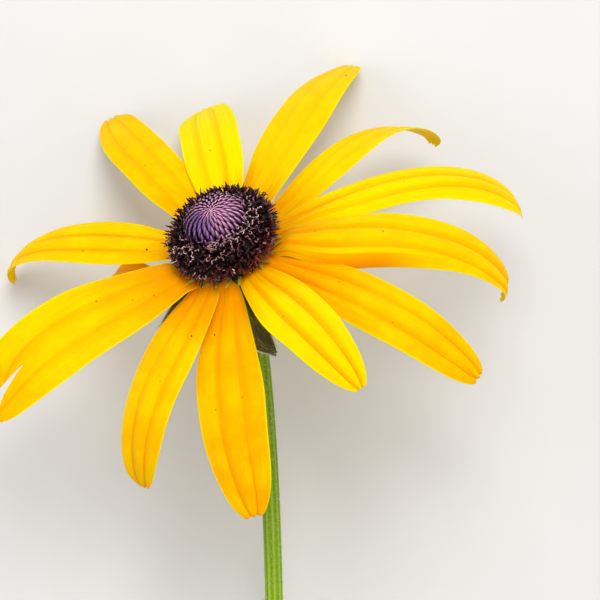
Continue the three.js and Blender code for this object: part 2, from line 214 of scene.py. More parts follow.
# Stem.
STEM_GAP = 0.3
STEM_STRAIGHT = 15
STEM_ROUTE = ((5.16, -18.95, 2.6), (-0.64, -91.95, 1.43))
STEM_RADIUS = 1.35
STEM_RIBS = 9
RIB_HEIGHT = 0.16
STEM_RINGS = 200
STEM_SIDES = 72
STEM_LAY = 16  # the stem's length on its lay map, in centimetres
STEM_SHADE = (5.5, 8)  # centimetres down the stem between which its painted shade fades

# Camera: above the head, looking straight down, with a frame this wide at the head's height.
CAMERA_ABOVE = 0.4
CAMERA_ASIDE = (0.01035, -0.00765)
FRAME_WIDTH = 0.09
SENSOR = 36
FLOOR_REACH = 4.0


# ---------------------------------------------------------------- numbers and shapes


def unit(vectors):
    return vectors / np.maximum(np.linalg.norm(vectors, axis=-1, keepdims=True), 1e-12)


def smoothstep(x, low, high):
    x = np.clip((x - low) / (high - low), 0, 1)
    return x * x * (3 - 2 * x)


def bump(x, centre, half_width):
    return np.exp(-(((x - centre) / half_width) ** 2))


def through(values, s):
    """The value at s of a curve through three values at 0, 0.5 and 1."""
    start, middle, end = values
    return start * (1 - s) * (1 - 2 * s) + 4 * middle * s * (1 - s) + end * s * (2 * s - 1)


def circle(sides):
    return np.arange(sides) / sides * FULL_TURN


def doubled(grid):
    """A grid's values for both faces of a blade."""
    return np.tile(grid.ravel(), 2)


def turned_about_z(points, degrees):
    cos, sin = math.cos(math.radians(degrees)), math.sin(math.radians(degrees))
    return points @ np.array([[cos, sin, 0], [-sin, cos, 0], [0, 0, 1]])


def from_head(points):
    """Points of the head's frame in the flower's frame, in millimetres."""
    return points @ HEAD_TURN.T + HEAD_AT


class Course:
    """A line that bends as it goes. Its angles in degrees are functions of s from 0 to 1."""

    STEPS = 200

    def __init__(self, length, rise, heading, roll=np.zeros_like):
        self.rise, self.heading, self.roll = rise, heading, roll
        middles = (np.arange(self.STEPS) + 0.5) / self.STEPS
        steps = self.direction(middles) * length / self.STEPS
        self.points = np.vstack([np.zeros(3), np.cumsum(steps, axis=0)])

    def direction(self, s):
        up, turn = np.radians(self.rise(s)), np.radians(self.heading(s))
        return np.stack([np.cos(up) * np.cos(turn), np.cos(up) * np.sin(turn), np.sin(up)], -1)

    def at(self, s):
        """Origin, sideways direction and normal at each s."""
        place = np.clip(s, -0.02, 1.02) * self.STEPS
        index = np.clip(np.floor(place), 0, self.STEPS - 1).astype(int)
        part = (place - index)[..., None]
        origin = self.points[index] * (1 - part) + self.points[index + 1] * part
        tangent = self.direction(s)
        turn = np.radians(self.heading(s))
        level = np.stack([-np.sin(turn), np.cos(turn), np.zeros_like(turn)], -1)
        angle = np.radians(self.roll(s))[..., None]
        side = level * np.cos(angle) + np.cross(tangent, level) * np.sin(angle)
        return origin, side, np.cross(tangent, side)


def shell_faces(rings, sides):
    """Faces of a closed shell: rings of points, and then the two points that close its root and its tip."""
    ring, side = np.meshgrid(np.arange(rings - 1), np.arange(sides), indexing="ij")
    near, far = ring * sides + side, ring * sides + (side + 1) % sides
    quads = np.stack([near, far, far + sides, near + sides], -1).reshape(-1, 4)
    side = np.arange(sides)
    after = (side + 1) % sides
    last, root, tip = (rings - 1) * sides, rings * sides, rings * sides + 1
    foot = np.stack([np.full(sides, root), after, side], -1)
    top = np.stack([last + side, last + after, np.full(sides, tip)], -1)
    return quads, np.vstack([foot, top])


def turned_shell(profile, sides):
    """A closed shell turned about the axis. Its profile starts and ends on the axis."""
    profile = np.array(profile, float)
    angle = circle(sides)
    around = np.stack([np.cos(angle), np.sin(angle), np.zeros(sides)], -1)
    rings = profile[1:-1, 0, None, None] * around + profile[1:-1, 1, None, None] * UP
    points = np.vstack([rings.reshape(-1, 3), profile[[0, -1], 1, None] * UP])
    return points, *shell_faces(len(profile) - 2, sides)


def rounded(profile, pieces=5):
    """A profile with each corner between its ends drawn as a short curve."""
    profile = np.array(profile, float)
    t = np.linspace(0, 1, pieces)[:, None]
    found = [profile[:1]]
    for before, corner, after in zip(profile[:-2], profile[1:-1], profile[2:]):
        start, end = (before + 2 * corner) / 3, (after + 2 * corner) / 3
        found.append((1 - t) ** 2 * start + 2 * t * (1 - t) * corner + t**2 * end)
    return np.vstack([*found, profile[-1:]])


def blade(upper, thickness):
    """A closed thin blade under a grid of points, (rows, columns, 3)."""
    normal = unit(np.cross(np.gradient(upper, axis=0), np.gradient(upper, axis=1)))
    lower = upper - thickness[..., None] * normal
    top = np.arange(upper.shape[0] * upper.shape[1]).reshape(upper.shape[:2])
    under = top + top.size
    quads = [np.stack(corners, -1).reshape(-1, 4) for corners in (
        (top[:-1, :-1], top[1:, :-1], top[1:, 1:], top[:-1, 1:]),
        (under[:-1, :-1], under[:-1, 1:], under[1:, 1:], under[1:, :-1]),
        (under[:-1, 0], under[1:, 0], top[1:, 0], top[:-1, 0]),
        (under[:-1, -1], top[:-1, -1], top[1:, -1], under[1:, -1]),
        (under[0, :-1], top[0, :-1], top[0, 1:], under[0, 1:]),
        (under[-1, :-1], under[-1, 1:], top[-1, 1:], top[-1, :-1]),
    )]
    return np.vstack([upper.reshape(-1, 3), lower.reshape(-1, 3)]), np.vstack(quads)


class Growth:
    """Gathers closed pieces into one mesh, with numbers for its material at each point."""

    def __init__(self, *layers):
        self.points, self.quads, self.triangles = [], [], []
        self.layers = {name: [] for name in layers}
        self.count = 0

    def add(self, points, quads, triangles=None, **values):
        self.quads.append(quads + self.count)
        if triangles is not None:
            self.triangles.append(triangles + self.count)
        for name, found in self.layers.items():
            found.append(np.broadcast_to(values.get(name, 0.0), (len(points),)))
        self.points.append(points)
        self.count += len(points)

    def strands(self, paths, radii, wide, sides, flat=1.0, pinch=0.0, share=(0, 1), **each):
        """Adds closed tapering strands along many paths at once, (strands, rings, 3), each ending in a point.
        pinch turns the round section into a diamond. The layer share goes from one value at a strand's foot
        to another at its tip, edge is highest at its margins, and the others have a value for each strand."""
        count, rings, _ = paths.shape
        tangent = unit(np.gradient(paths, axis=1))
        wide = np.broadcast_to(wide, (count, 3))[:, None]
        wide = unit(wide - (wide * tangent).sum(-1, keepdims=True) * tangent)
        thin = np.cross(tangent, wide) * flat
        cos, sin = np.cos(circle(sides))[:, None], np.sin(circle(sides))[:, None]
        ring = (cos * wide[:, :-1, None] + sin * thin[:, :-1, None]) / (np.abs(cos) + np.abs(sin)) ** pinch
        radii = np.broadcast_to(radii, (count, rings))[:, :-1, None, None]
        body = (paths[:, :-1, None] + radii * ring).reshape(count, -1, 3)
        points = np.concatenate([body, paths[:, :1], paths[:, -1:]], axis=1)
        quads, triangles = shell_faces(rings - 1, sides)
        step = (np.arange(count) * points.shape[1])[:, None, None]
        part = np.concatenate([np.repeat(np.arange(rings - 1) / (rings - 1), sides), [0, 1]])
        edge = np.append(np.tile(np.abs(cos[:, 0]), rings - 1), [0, 0])
        each = {name: np.repeat(np.broadcast_to(v, count), points.shape[1]) for name, v in each.items()}
        self.add(
            points.reshape(-1, 3), (quads + step).reshape(-1, 4), (triangles + step).reshape(-1, 3),
            share=np.tile(share[0] + (share[1] - share[0]) * part, count), edge=np.tile(edge, count), **each,
        )

    def finish(self, name, material, slot, *replaces, lay=None, in_head=False):
        """Makes the piece in metres, with its material, body and the nodes that it stands for. Its slot is
        not used.
        lay names the two layers that make its UV map."""
        points = np.vstack(self.points)
        points = (from_head(points) if in_head else points) * MM
        faces = self.quads + self.triangles
        mesh = bpy.data.meshes.new(name)
        mesh.from_pydata(points.tolist(), [], [face for part in faces for face in part.tolist()])
        if mesh.validate():
            raise RuntimeError(f"{name} has faces that don't hold together")
        mesh.shade_smooth()
        for layer, found in self.layers.items():
            values = np.concatenate(found).astype(np.float32)
            mesh.attributes.new(layer, "FLOAT", "POINT").data.foreach_set("value", values)
        if lay:
            corners = np.concatenate([part.ravel() for part in faces])
            uv = np.stack([np.concatenate(self.layers[layer]) for layer in lay], -1)[corners]
            mesh.uv_layers.new(name="lay").uv.foreach_set("vector", uv.astype(np.float32).ravel())
        mesh.materials.append(material)
        piece = bpy.data.objects.new(name, mesh)
        bpy.context.scene.collection.objects.link(piece)
        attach(piece, "root")
        if replaces:
            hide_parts(*replaces)


class Plots:
    """Places spread over a turned profile in the golden spiral, crowded more closely near the axis."""

    PIECES = 40

    def __init__(self, profile, count, draw, crowd=0.0, crowd_reach=1.0):
        profile = np.array(profile, float)
        edge = np.diff(profile, axis=0)
        slope = np.arctan2(edge[:, 0], -edge[:, 1])
        corner = np.concatenate([slope[:1], (slope[:-1] + slope[1:]) / 2, slope[-1:]])
        part = (np.arange(self.PIECES) + 0.5) / self.PIECES
        radius, height = (profile[:-1, axis, None] + edge[:, axis, None] * part for axis in (0, 1))
        outward = corner[:-1, None] * (1 - part) + corner[1:, None] * part
        dense = 1 + crowd * bump(radius, 0, crowd_reach)
        area = np.cumsum((dense * radius * np.hypot(*edge.T)[:, None]).ravel())
        order = np.arange(count)
        found = np.searchsorted(area, area[-1] * (order + 0.5) / count)
        self.count, self.draw = count, draw
        self.share = (order + 0.5) / count
        self.scale = 1 / np.sqrt(dense.ravel()[found])
        self.azimuth = (order * GOLDEN_ANGLE) % FULL_TURN
        outward = outward.ravel()[found][:, None]
        radial = np.stack([np.cos(self.azimuth), np.sin(self.azimuth), np.zeros(count)], -1)
        self.point = radial * radius.ravel()[found][:, None] + UP * height.ravel()[found][:, None]
        self.normal = radial * np.cos(outward) + UP * np.sin(outward)
        self.inward = UP * np.cos(outward) - radial * np.sin(outward)
        self.sideways = np.cross(self.normal, self.inward)

    def some(self, chosen):
        """The chosen plots, as a set of their own."""
        found = copy.copy(self)
        for name, value in vars(self).items():
            if isinstance(value, np.ndarray):
                setattr(found, name, value[chosen])
        found.count = len(found.share)
        return found

    def vary(self, low, high, *columns):
        """Random values for each plot."""
        return self.draw.uniform(low, high, (self.count, *columns))

    def facing(self, degrees):
        """How far each plot lies towards an azimuth: 1 on it, and -1 opposite."""
        return np.cos(self.azimuth - math.radians(degrees))

    def paths(self, out, inward, sideways):
        """Paths over each plot, from how far they lie out of the surface, towards the axis and sideways."""
        found = np.broadcast_arrays(out, inward, sideways)
        out, inward, sideways = (np.broadcast_to(x, (self.count, x.shape[-1]))[..., None] for x in found)
        return (
            self.point[:, None]
            + out * self.normal[:, None]
            + inward * self.inward[:, None]
            + sideways * self.sideways[:, None]
        )

    def leaning(self, out, lean, bend=0.0):
        """Nearly straight paths, each leaning inward and sideways by its own two slopes."""
        return self.paths(out, lean[:, :1] * out + bend, lean[:, 1:] * out)


# ---------------------------------------------------------------- materials


SOCKETS = {
    "specular": "Specular IOR Level",
    "specular_tint": "Specular Tint",
    "subsurface": "Subsurface Weight",
    "subsurface_scale": "Subsurface Scale",
    "subsurface_radius": "Subsurface Radius",
}


def reckon(operation):
    return lambda value, other=0.0: value.nodes.math(operation, value, other)


class Value:
    """A node's output. Its operators add the nodes that reckon with it."""

    __add__, __sub__, __mul__ = map(reckon, ("ADD", "SUBTRACT", "MULTIPLY"))
    __truediv__, __pow__, __abs__ = map(reckon, ("DIVIDE", "POWER", "ABSOLUTE"))

    def __init__(self, nodes, socket):
        self.nodes, self.socket = nodes, socket

    def fit(self, low, high, to_low=0.0, to_high=1.0):
        inputs = {"Value": self, "From Min": low, "From Max": high, "To Min": to_low, "To Max": to_high}
        return self.nodes.add("MapRange", inputs, interpolation_type="SMOOTHSTEP")[0]

    def between(self, low, high):
        """A value that goes from low to high with this mask."""
        return self.fit(0.0, 1.0, low, high)


class Nodes:
    """Adds nodes to a tree and joins them. An input is a plain value or another node's output."""

    def __init__(self, tree, material=None):
        self.tree, self.material = tree, material

    def add(self, kind, inputs=None, **settings):
        """Adds a node and gives its outputs, by number and by name."""
        node = self.tree.nodes.new(kind if kind.startswith("Node") else "ShaderNode" + kind)
        for name, value in settings.items():
            setattr(node, name, value)
        for name, value in (inputs or {}).items():
            if isinstance(value, Value):
                self.tree.links.new(value.socket, node.inputs[name])
            else:
                node.inputs[name].default_value = value
        values = [Value(self, socket) for socket in node.outputs]
        return {**dict(enumerate(values)), **{value.socket.name: value for value in values}, "node": node}

    def math(self, operation, first, second=0.0, clamp=False):
        return self.add("Math", {0: first, 1: second}, operation=operation, use_clamp=clamp)[0]

    def layer(self, name):
        return self.add("Attribute", attribute_name=name)["Fac"]

    def mix(self, factor, first, second):
        return self.add("Mix", {0: factor, 6: first, 7: second}, data_type="RGBA")[2]

    def coats(self, colour, *coats):
        """A colour with others laid over it in turn. Each coat is a mask and a colour."""
        for mask, coat in coats:
            colour = self.mix(mask, colour, coat)
        return colour

    def ramp(self, factor, *stops):
        """A colour from stops, each a place and a colour, the first at 0 and the last at 1."""
        found = self.add("ValToRGB", {"Fac": factor})
        ramp = found["node"].color_ramp
        for place, _ in stops[1:-1]:
            ramp.elements.new(place)
        for element, (place, colour) in zip(ramp.elements, stops):
            element.position, element.color = place, colour
        return found["Color"]

    def noise(self, name, place, detail, roughness, inputs):
        """A mask from noise, in a node group made on its first use. place finds its vector and scale."""
        tree = bpy.data.node_groups.get(name)
        if not tree:
            tree = bpy.data.node_groups.new(name, "ShaderNodeTree")
            for label, value in inputs.items():
                socket = tree.interface.new_socket(label, in_out="INPUT", socket_type="NodeSocketFloat")
                socket.default_value = value
            tree.interface.new_socket("Mask", in_out="OUTPUT", socket_type="NodeSocketFloat")
            nodes = Nodes(tree)
            given = nodes.add("NodeGroupInput")
            vector, scale = place(nodes, given)
            texture = {"Vector": vector, "Scale": scale, "Detail": detail, "Roughness": roughness}
            mask = nodes.add("TexNoise", texture)[0].fit(given["Low"], given["High"])
            nodes.add("NodeGroupOutput", {0: mask})
        return self.add("Group", inputs, node_tree=tree)[0]

    def streaks(self, across, along, low=0.35, high=0.65):
        """A mask of long fine streaks that follow a piece's own length, from its lay map in centimetres."""

        def place(nodes, given):
            lay = nodes.add("SeparateXYZ", {0: nodes.add("UVMap", uv_map="lay")[0]})
            return nodes.add("CombineXYZ", {0: lay[0] * given["Across"], 1: lay[1] * given["Along"]})[0], 1.0

        inputs = {"Across": across, "Along": along, "Low": low, "High": high}
        return self.noise("Long streaks", place, 3.0, 0.55, inputs)

    def mottle(self, grain, low=0.35, high=0.65):
        """A mask of soft blotches in space, grain of them to a millimetre."""

        def place(nodes, given):
            return nodes.add("TexCoord")["Object"], given["Grain"] * (1 / MM)

        return self.noise("Soft mottle", place, 4.0, 0.6, {"Grain": grain, "Low": low, "High": high})

    def shader(self, colour, roughness, height, depth, **constants):
        """Ends a material, with colour, roughness and relief from sockets. depth is in millimetres."""
        relief = self.add("Bump", {"Height": height, "Distance": depth * MM, "Strength": 1.0})
        inputs = {"Base Color": colour, "Roughness": roughness, "Normal": relief[0]}
        inputs.update({SOCKETS[name]: value for name, value in constants.items()})
        self.add("OutputMaterial", {"Surface": self.add("BsdfPrincipled", inputs)[0]})
        return self.material


def new_material(name):
    material = bpy.data.materials.new(name)
    material.use_nodes = True
    material.node_tree.nodes.clear()
    return Nodes(material.node_tree, material)


def petal_material(look):
    nodes = new_material("Ray petal")
    along, across, warmth, furrow = map(nodes.layer, ("along", "across", "warmth", "furrow"))
    veins, bands = nodes.streaks(26.0, 0.7, 0.3, 0.7), nodes.streaks(5.0, 0.5, 0.3, 0.7)
    lines, blotch = nodes.streaks(17.0, 0.5, 0.55, 0.68), nodes.mottle(0.2)
    # The base is warm, further out on the warmer rays, with a few dark lines. The tip is deepened towards
    # gold with painted shade, more on the warmer rays.
    reach = warmth * 0.42 + 0.14 + bands * 0.14
    base = nodes.math("SUBTRACT", 1.0, along / reach, clamp=True)
    gold = nodes.math("ADD", nodes.layer("gold"), warmth * along.fit(0.6, 1.0, 0.0, 0.5), clamp=True)
    colour = nodes.coats(look.yellow, (gold, look.gold), (blotch * 0.25, look.light))
    # Each groove is painted with shade, darkest along its own line and fading slowly towards the next lobe,
    # with a painted dark line along the crease at its bottom.
    for groove in GROOVES:
        past = across - groove
        sides = past.fit(-0.1, 0.0) * past.fit(0.0, 0.34, 1.0, 0.0)
        fine = abs(past).fit(0.0, 0.05, 1.0, 0.0)
        colour = nodes.coats(
            colour,
            (sides * along.fit(0.1, 1.0, 0.9, 0.65) * furrow * (bands * 0.5 + 0.5), look.groove),
            (fine * along.fit(0.5, 0.95, 0.0, 0.4) * furrow, look.line),
        )
    colour = nodes.coats(
        colour,
        (base**1.1, look.orange),
        (veins * 0.1, look.groove),
        (lines * along.fit(0.05, 0.28, 0.5, 0.0), look.line),
        # A painted highlight along each margin.
        (abs(across).fit(0.94, 1.0, 0.0, 0.6), look.light),
        # Painted shade on the folded near lobe.
        (nodes.layer("tucked") * 0.95, look.orange),
        (nodes.layer("under") * 0.85, look.underside),
    )
    return nodes.shader(
        colour, veins.between(0.42, 0.55), veins + blotch * 0.6, 0.015,
        specular=0.04, specular_tint=(1.0, 0.8, 0.2, 1.0),
        subsurface=0.4, subsurface_scale=0.9 * MM, subsurface_radius=(1.0, 0.4, 0.05),
    )


def floret_material(look):
    nodes = new_material("Open floret")
    share, red = nodes.layer("share"), nodes.layer("red")
    grain = nodes.mottle(2.2, 0.35, 0.7)
    # Random lobes are painted with pale glints, and the oldest are red with orange tips.
    colour = nodes.coats(
        # A floret's foot and the core under the ring are painted with shade.
        nodes.ramp(share, (0.0, look.root), (0.6, look.body), (1.0, look.tip)),
        (nodes.layer("bloom") * share.fit(0.55, 0.9), look.bloom),
        (red * share.fit(0.1, 0.5), look.red),
        (red.fit(0.75, 1.0) * share.fit(0.75, 1.0), look.orange),
        (nodes.layer("green") * share.fit(0.1, 0.4), look.scale_green),
    )
    roughness = share.fit(0.0, 0.4, 0.6, 0.26) + grain * 0.15
    return nodes.shader(colour, roughness, grain, 0.02, specular=0.3, specular_tint=(1.0, 0.7, 0.75, 1.0))


def style_material(look):
    nodes = new_material("Style branch")
    grain = nodes.mottle(3.0)
    pale = nodes.layer("pale") * nodes.layer("share").fit(0.0, 0.45, 0.5, 1.0)
    pale = nodes.math("SUBTRACT", pale, grain * 0.15, clamp=True)
    colour = nodes.ramp(pale, (0.0, look.body), (0.45, look.style_pink), (1.0, look.style_cream))
    return nodes.shader(
        colour, grain.between(0.35, 0.5), grain, 0.02,
        specular=0.3, subsurface=0.1, subsurface_scale=0.2 * MM,
    )


def bud_material(look):
    nodes = new_material("Purple bud")
    share, height, cool = map(nodes.layer, ("share", "height", "cool"))
    grain = nodes.mottle(2.4, 0.3, 0.7)
    # Tips: painted light towards the top and right, painted shade on the lower left.
    tip = nodes.coats(look.bud_mauve, (height, look.bud_highlight_pink), (cool, look.bud_shade_lilac))
    colour = nodes.coats(
        look.bud_plum,
        # The height layer paints light on the top and right, and the next coat paints shade on the lower
        # left.
        (height, look.bud_lit_rose),
        (cool, look.bud_shade_violet),
        (grain * 0.3, look.bud_plum),
        (share.fit(0.45, 0.9), tip),
        # Each bud's foot, and the core under the buds, are painted with shade.
        (share.fit(0.2, 0.5, 1.0, 0.0), look.root),
        # Painted shade along each bud's margins, where it meets the next.
        (nodes.layer("edge").fit(0.3, 0.7), look.bud_margin_shade),
    )
    roughness = grain.between(0.3, 0.45)
    return nodes.shader(colour, roughness, grain, 0.03, specular=0.75, specular_tint=(1.0, 0.75, 0.95, 1.0))


def bract_material(look):
    nodes = new_material("Bract")
    veins, grain = nodes.streaks(26.0, 2.5), nodes.mottle(1.2)
    rim = abs(nodes.layer("across")).fit(0.82, 1.0, 0.0, 0.7)
    colour = nodes.coats(
        look.bract_dark, (veins, look.bract_light), (grain * 0.5, look.bract_dark), (rim, look.hair)
    )
    roughness = grain.between(0.55, 0.75)
    return nodes.shader(colour, roughness, veins, 0.08, subsurface=0.06, subsurface_scale=0.4 * MM)


def stem_material(look):
    nodes = new_material("Stem")
    streaks, grain = nodes.streaks(18.0, 0.7), nodes.mottle(2.5, 0.4, 0.6)
    colour = nodes.coats(
        look.stem_dark,
        (nodes.layer("ridge") * streaks.between(0.7, 1.0), look.stem_light),
        # Painted shade on the stem's darker side, upper part only.
        (nodes.layer("shade") * 0.8, look.stem_shaded_side),
        (grain * 0.12, look.pith),
        (nodes.layer("cut"), look.pith),
    )
    return nodes.shader(
        colour, streaks.between(0.45, 0.65), streaks + grain * 0.5, 0.06,
        specular=0.06, subsurface=0.06, subsurface_scale=0.8 * MM,
    )


def hair_material(look):
    nodes = new_material("Plant hair")
    grain = nodes.mottle(4.0, 0.3, 0.7)
    colour = nodes.coats(look.hair_root, (nodes.layer("share"), look.hair), (grain * 0.25, look.hair_root))
    roughness = grain.between(0.3, 0.45)
    return nodes.shader(colour, roughness, grain, 0.01, subsurface=0.1, subsurface_scale=0.1 * MM)


def speck_material(look):
    nodes = new_material("Dark grain")
    grain = nodes.mottle(6.0, 0.3, 0.7)
    colour = nodes.mix(grain, look.speck_black, look.speck_brown)
    return nodes.shader(colour, grain.between(0.5, 0.8), grain, 0.03)


def floor_material(colour):
    nodes = new_material("Pale floor")
    grain = nodes.mottle(0.02, 0.2, 0.8)
    darker = [0.97 * channel for channel in colour[:3]] + [1.0]
    return nodes.shader(nodes.mix(grain, colour, darker), grain.between(0.7, 0.8), grain, 0.02)


# ---------------------------------------------------------------- settings


def tint(name, description, *default):
    return FloatVectorProperty(
        name=name, description=description, default=(*default, 1.0), size=4, min=0.0, max=1.0, subtype="COLOR"
    )


def distance(name, description, default):
    return FloatProperty(
        name=name, description=description, default=default, min=0.0, precision=5, unit="LENGTH"
    )


def amount(name, description, default):
    return IntProperty(name=name, description=description, default=default, min=1)


def power(name, description, default):
    return FloatProperty(name=name, description=description, default=default, min=0.0, unit="POWER")


class RaySettings(bpy.types.PropertyGroup):
    thickness: distance("Thickness", "Thickness of a ray in its middle", 0.00032)
    vein_height: distance("Vein height", "Height of a ray's fine veins", 0.000018)
    waviness: distance("Waviness", "How far a ray's margins wave", 0.00022)
    yellow: tint("Yellow", "The outer part of the lightest rays", 0.95, 0.7, 0)
    gold: tint("Gold", "The outer part of the deepest rays", 0.93, 0.385, 0)
    # Light yellow: the palest blotches, and a painted highlight along the rim.
    light: tint("Light yellow", "A ray's palest blotches and rim", 0.97, 0.82, 0)
    # Orange: a ray's base, and the painted shade on a folded lobe.
    orange: tint("Orange", "A ray's base", 0.86, 0.25, 0)
    # Groove: painted shade in the grooves, and the veins' own colour.
    groove: tint("Groove", "The grooves and veins", 0.84, 0.35, 0)
    # Line: the base's own dark lines, and painted shade along the bottom of the grooves.
    line: tint("Line", "The dark lines at a ray's base and in its grooves", 0.5, 0.1, 0)
    underside: tint("Underside", "A ray's underside", 1, 0.64, 0.006)
    speck_brown: tint("Grain brown", "The lighter part of the dark grains", 0.12, 0.05, 0.01)
    speck_black: tint("Grain black", "The darker part of the dark grains", 0.012, 0.005, 0.006)


class DiscSettings(bpy.types.PropertyGroup):
    florets: amount("Open florets", "Florets in the dark ring", 170)
    styles: amount("Styles", "Places for styles round the dome", 150)
    buds: amount("Buds", "Buds in the purple dome", 135)
    floret_length: distance("Floret length", "How far an open floret stands out", 0.0015)
    # Root: painted shade deep between the florets and the buds, and on the dark cores under them.
    root: tint("Root", "Deep between the florets and the buds", 0.006, 0.002, 0.004)
    body: tint("Floret body", "A floret's tube", 0.014, 0.003, 0.005)
    tip: tint("Floret tip", "Tips of the lobes and the scales", 0.045, 0.008, 0.014)
    # Painted glints on random lobes and scales.
    bloom: tint("Floret bloom", "The paler lobes", 0.42, 0.17, 0.2)
    red: tint("Floret red", "Florets that have aged to red", 0.32, 0.025, 0.01)
    orange: tint("Floret orange", "Tips of the oldest lobes", 0.65, 0.24, 0.03)
    scale_green: tint("Scale green", "The green scales at the rim", 0.52, 0.42, 0.03)
    style_cream: tint("Style cream", "The palest styles", 0.95, 0.74, 0.62)
    style_pink: tint("Style pink", "The duller styles", 0.3, 0.1, 0.13)
    # Pink, rose, lilac and violet paint light on the dome's top and right, and shade on its lower left.
    bud_highlight_pink: tint("Bud pink", "Tips of the buds round the dome's top", 1.0, 0.48, 0.72)
    bud_mauve: tint("Bud mauve", "Tips of the lower buds", 0.52, 0.19, 0.38)
    bud_shade_lilac: tint("Bud lilac", "Tips of the buds on the dome's cool side", 0.32, 0.12, 0.42)
    bud_lit_rose: tint("Bud rose", "Buds round the dome's top", 0.55, 0.18, 0.38)
    bud_plum: tint("Bud plum", "The lower buds", 0.2, 0.055, 0.14)
    bud_shade_violet: tint("Bud violet", "Buds on the dome's cool side", 0.1, 0.028, 0.15)
    # Painted shade along the buds' margins.
    bud_margin_shade: tint("Bud dark", "A bud's margins", 0.012, 0.004, 0.01)


class GreenSettings(bpy.types.PropertyGroup):
    stem_hairs: amount("Stem hairs", "Stiff hairs on the stem", 900)
    stem_down: amount("Stem down", "Short hairs on the stem", 1500)
    hair_length: distance("Hair length", "Length of the longest stem hairs", 0.0013)
    hair_radius: distance("Hair radius", "Radius of a hair at its root", 0.000034)
    stem_light: tint("Stem light", "The stem's ridges", 0.38, 0.6, 0.02)
    stem_dark: tint("Stem dark", "Between the stem's ridges", 0.2, 0.34, 0.004)
    # Painted shade on the stem's darker side.
    stem_shaded_side: tint("Stem deep", "The stem's darker side", 0.07, 0.13, 0.001)
    pith: tint("Pith", "The stem's cut end", 0.6, 0.66, 0.38)
    bract_dark: tint("Bract dark", "Darker green of the bracts", 0.035, 0.035, 0.006)
    bract_light: tint("Bract light", "Lighter green of the bracts", 0.12, 0.13, 0.025)
    hair: tint("Hair", "A hair's tip", 0.86, 0.88, 0.8)
    hair_root: tint("Hair root", "A hair's root", 0.5, 0.56, 0.38)


class StageSettings(bpy.types.PropertyGroup):
    floor: tint("Floor", "The floor", 0.74, 0.73, 0.71)
    key: power("Key light", "Power of the main lamp", 2.3)
    fill: power("Fill light", "Power of the side lamp", 0.8)
    left: power("Left light", "Power of the left lamp", 0.8)
    sky: FloatProperty(name="Sky", description="Strength of the light from all round", default=0.5, min=0.0)


class FlowerSettings(bpy.types.PropertyGroup):
    rays: PointerProperty(type=RaySettings)
    disc: PointerProperty(type=DiscSettings)
    green: PointerProperty(type=GreenSettings)
    stage: PointerProperty(type=StageSettings)


def settings():
    return bpy.context.scene.black_eyed_susan


# ---------------------------------------------------------------- rays


def ray_outline(s, ray):
    """Half width of a ray at s, as a share of its greatest half width."""
    start = np.clip((s * ray.length - SHOULDER_AT) / SHOULDER_REACH, 0.06, 1)
    base = ray.base * np.sqrt(start * (2 - start))
    rising = np.sin(math.pi / 2 * np.clip(s / ray.widest, 0, 1)) ** 1.15
    falling = (1 - np.clip((s - ray.widest) / (1 - ray.widest), 0, 1) ** ray.blunt) ** ray.taper
    return np.where(s < ray.widest, base + (1 - base) * rising, falling)


def ray_surface(index, t, v, look):
    """Points of a ray's upper face in the head's frame, t along it and v across it."""
    ray = RAYS[index]
    claw = 2 * CLAW / ray.length
    course = Course(
        ray.length,
        lambda s: through(ray.rise, s) * smoothstep(s, 0, claw) - ray.hook * smoothstep(s, 0.9, 1),
        lambda s: through(ray.heading, s),
        lambda s: through((0, *ray.turn), s),
    )
    s = t * TIP_SHARE
    phase = 1.7 * index
    near = np.where(v < 0, 1 + ray.skew * smoothstep(t, 0.08, 0.3) * np.cos(math.pi * t), 1)
    half = ray.width / 2 * near * ray_outline(s, ray) * (1 + 0.012 * np.sin(17 * t + phase) * np.sign(v))
    # The tip is cut back between its teeth, and where it is forked.
    teeth = sum(bump(v, groove, TOOTH_HALF_WIDTH) for groove in GROOVES)
    split = np.maximum(0, 1 - np.abs(v - FORK_AT) / 0.5)
    cut = ray.notch * teeth * smoothstep(t, 0.88, 1) + ray.fork / ray.length * split * smoothstep(t, 0.5, 1)
    origin, side, normal = course.at(s - cut)
    # The face rises and falls with its grooves, veins, dents and wavy margins.
    free = smoothstep(t, 0.03, 0.2)
    broad = sum(bump(v, groove, GROOVE_HALF_WIDTH) for groove in GROOVES)
    sway = 0.012 * np.sin(7 * t + phase)
    crease = sum(bump(v, groove + sway, CREASE_HALF_WIDTH) for groove in GROOVES)
    veins = np.cos(FULL_TURN * VEINS * v + 0.5 * np.sin(4 * t + phase) + phase)
    dents = 0.1 * np.sin(5.3 * t + 2.1 * phase + 2 * v) + 0.06 * np.sin(11 * t - 3 * v + phase)
    waves = look.waviness / MM * np.sin(9 * t + phase + 1.5 * v) * smoothstep(np.abs(v), 0.5, 1)
    height = ray.lift * smoothstep(t, 0.02, 0.12) - ray.cup * half * v * v
    height -= (GROOVE_DEPTH * broad + CREASE_DEPTH * crease * (1 - 0.5 * t)) * ray.furrow * free
    height += (look.vein_height / MM * veins + waves + dents) * free * smoothstep(1 - t, 0, 0.1)
    folded = half * np.maximum(0, FOLD_AT - v)
    angle = np.radians(ray.fold) * bump(t, FOLD_MOST, FOLD_REACH)
    across, out = half * v + folded * (1 - np.cos(angle)), height - folded * np.sin(angle)
    points = origin + side * across[..., None] + normal * out[..., None]
    return turned_about_z(points + np.array([RIM_RADIUS - CLAW, 0, ROOT_HEIGHT]), ray.azimuth)


